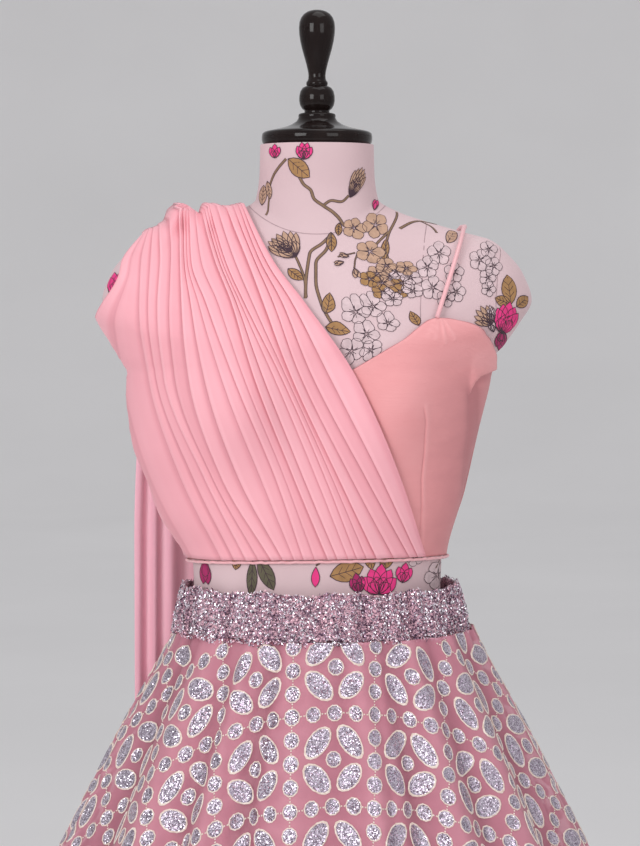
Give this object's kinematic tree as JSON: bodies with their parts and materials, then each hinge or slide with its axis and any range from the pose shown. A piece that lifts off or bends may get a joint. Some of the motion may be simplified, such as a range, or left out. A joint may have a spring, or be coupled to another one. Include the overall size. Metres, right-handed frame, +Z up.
{
  "type": "lehenga choli on a dress form",
  "caption": "South Asian lehenga choli, a flared lined skirt, cropped bodice and pleated shoulder drape, worn on a limbless dress form with a pole and round base.",
  "frame": {"origin": "centre of the underside of the stand's round base, on the floor", "axes": "+Z up along the pole, -Y the garment's front, +X the wearer's left"},
  "size_m": [1.246, 1.2165, 1.637],
  "materials": {
    "printed_cover": "printed cotton jersey, matt, stretched smooth",
    "black_lacquer": "turned wood in black gloss lacquer",
    "black_enamel": "black enamel, semi-gloss",
    "choli_georgette": "salmon pink georgette with a fine crosswise ripple, matt",
    "choli_satin": "pink satin, soft gloss",
    "drape_chiffon": "pink chiffon, sheer, matt",
    "sequinned_band": "pink cloth covered with silver sequins and bugle beads",
    "skirt_net": "sheer pink net with silver sequin petals and dots in ivory thread",
    "skirt_lining": "pink satin, soft gloss"
  },
  "bodies": {
    "root": {"form_torso": "printed_cover", "form_cap": "black_lacquer", "form_finial": "black_lacquer", "stand_pole": "black_enamel", "stand_base": "black_enamel", "choli_front_left": "choli_georgette", "choli_front_right": "choli_georgette", "choli_back_left": "choli_georgette", "choli_back_right": "choli_georgette", "choli_hem_piping": "choli_satin", "choli_strap": "choli_satin", "drape_front": "drape_chiffon", "drape_trail": "drape_chiffon", "waistband": "sequinned_band", "skirt_front": "skirt_net", "skirt_back": "skirt_net", "lining_front": "skirt_lining", "lining_back": "skirt_lining"}
  },
  "joints": []
}
